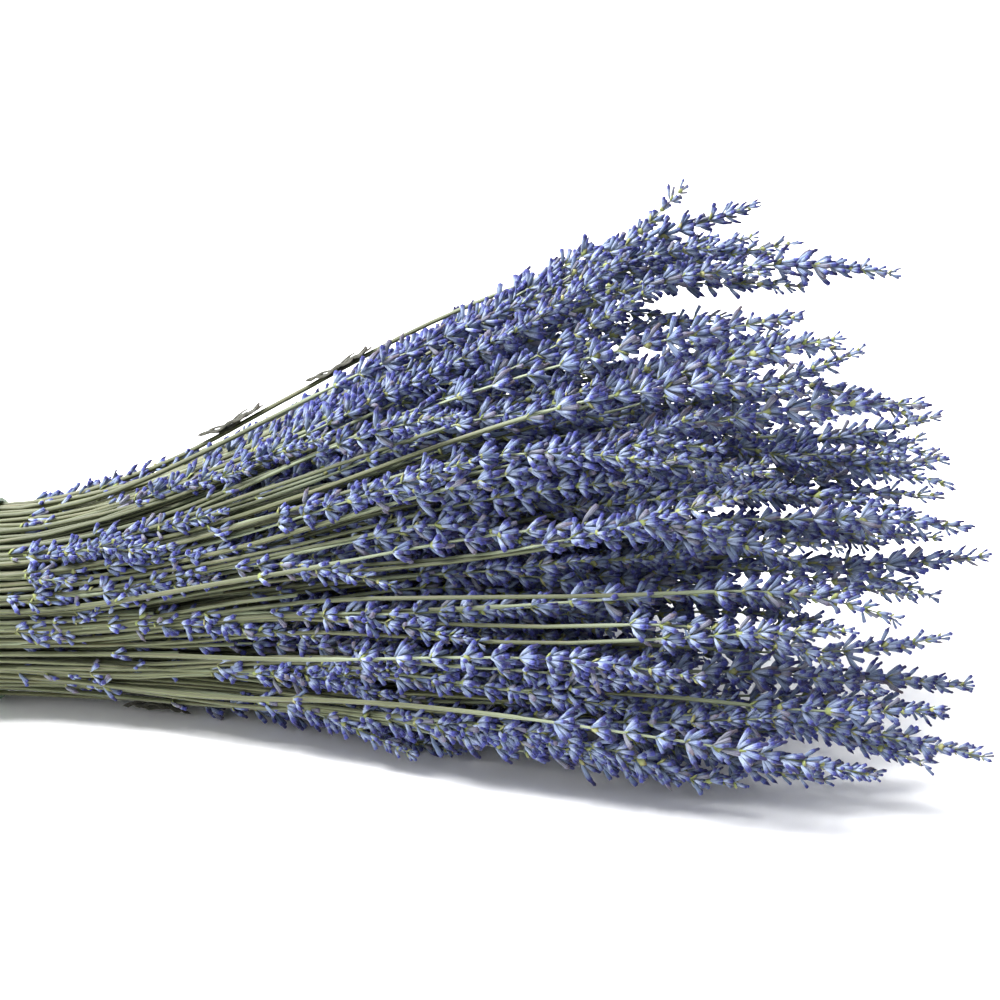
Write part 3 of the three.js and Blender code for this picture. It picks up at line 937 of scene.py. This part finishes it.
# ---- The loose dried leaves --------------------------------------------------------------------
# Three tufts of narrow lavender leaves, dried dark and brittle, are caught among the stems. Each
# blade is rolled under along its edges and twisted, and its tip is ragged.
LEAF_WIDTH = 2.1 * MM  # half
LEAF_POINTS = 14
LEAF_BLADES = ((0, 1.0, 0.0), (0.05, 0.7, 1.0), (0.12, 0.6, -1.0), (0.4, 0.5, 0.6), (0.5, 0.42, -0.7))
BLADE_SPREAD = 3.6 * MM  # at the tips, from the middle blade

leaf_skin, tree, shader = material("leaf_skin", Roughness=0.85, Sheen_Weight=0.2)
along, _, _, around = skin_parts(tree, 0.0, 1.0)
mottle = noise(tree, vector(tree, along * 12.0, around * 3.0, 0.0), 2.0, 4.0)
vein = (around * (4 * math.pi)).cos() * 0.5 + 0.5
body = mottle.ramp(0.3, 0.7).mix(rgba(27, 28, 19), rgba(50, 49, 34))
body = (vein.ramp(0.85, 1.0) * 0.5).mix(body, rgba(62, 60, 43))
body = along.ramp(0.8, 1.0).mix(body, rgba(42, 34, 23))
tree.links.new(body.socket, shader["Base Color"])
bumps(tree, shader, mottle + vein * 0.5, 0.3 * MM, 0.7)

made = new_tree("curl_leaf", Flatness="FLOAT", Roll="FLOAT")
leaf_tree = tree = made[0]
line = Wire.add(tree, "GeometryNodeMeshToCurve", None, {0: made[1]})
skin, around = tube(tree, line, 12, named(tree, "thick"), flat=made[2], cup=made[3])
skin = closed(tree, store_skin(tree, skin, named(tree, "along"), around))
finish_tree(tree, paint(tree, skin, leaf_skin))


def leaf_tuft(name, seed):
    """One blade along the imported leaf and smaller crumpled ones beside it. Each has its start and its
    length, as shares of the leaf's, and its side."""
    chance = random.Random(seed)
    rings = rings_of(name)
    path = Path(rings)
    foot, end = rings[0][0], rings[-1][0]
    places, edges, rows = [], [], []
    for begin, share, side in LEAF_BLADES:
        start = len(places)
        for i in range(LEAF_POINTS + 1):
            t = i / LEAF_POINTS
            x = foot + (end - foot) * (begin + share * t)
            y, z = path.at(x)
            y += side * BLADE_SPREAD * t**1.3 + 0.5 * MM * math.sin(9 * t + 4 * side)
            z += abs(side) * (0.2 + 1.2 * t) * MM + 0.6 * MM * math.sin(11 * t + 5 * side)
            width = 0.0 if i in (0, LEAF_POINTS) else (math.sin(math.pi * (0.12 + 0.8 * t)) ** 0.7)
            places.append((x, y, z))
            rows.append((width * chance.uniform(0.6, 1.0) * LEAF_WIDTH * (1 - 0.2 * abs(side)), t))
        edges += [(i, i + 1) for i in range(start, len(places) - 1)]
    columns = dict(zip(("thick", "along"), zip(*rows)))
    piece = grown(name + "_dried", plan_mesh(name + "_plan", places, edges, columns), leaf_tree,
                  Flatness=0.2, Roll=0.5)
    keep_off_ground(piece.data)
    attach(piece, "root")
    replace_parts(piece, name)


for seed, name in enumerate(sorted(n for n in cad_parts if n.startswith("dried_leaf_"))):
    leaf_tuft(name, seed)
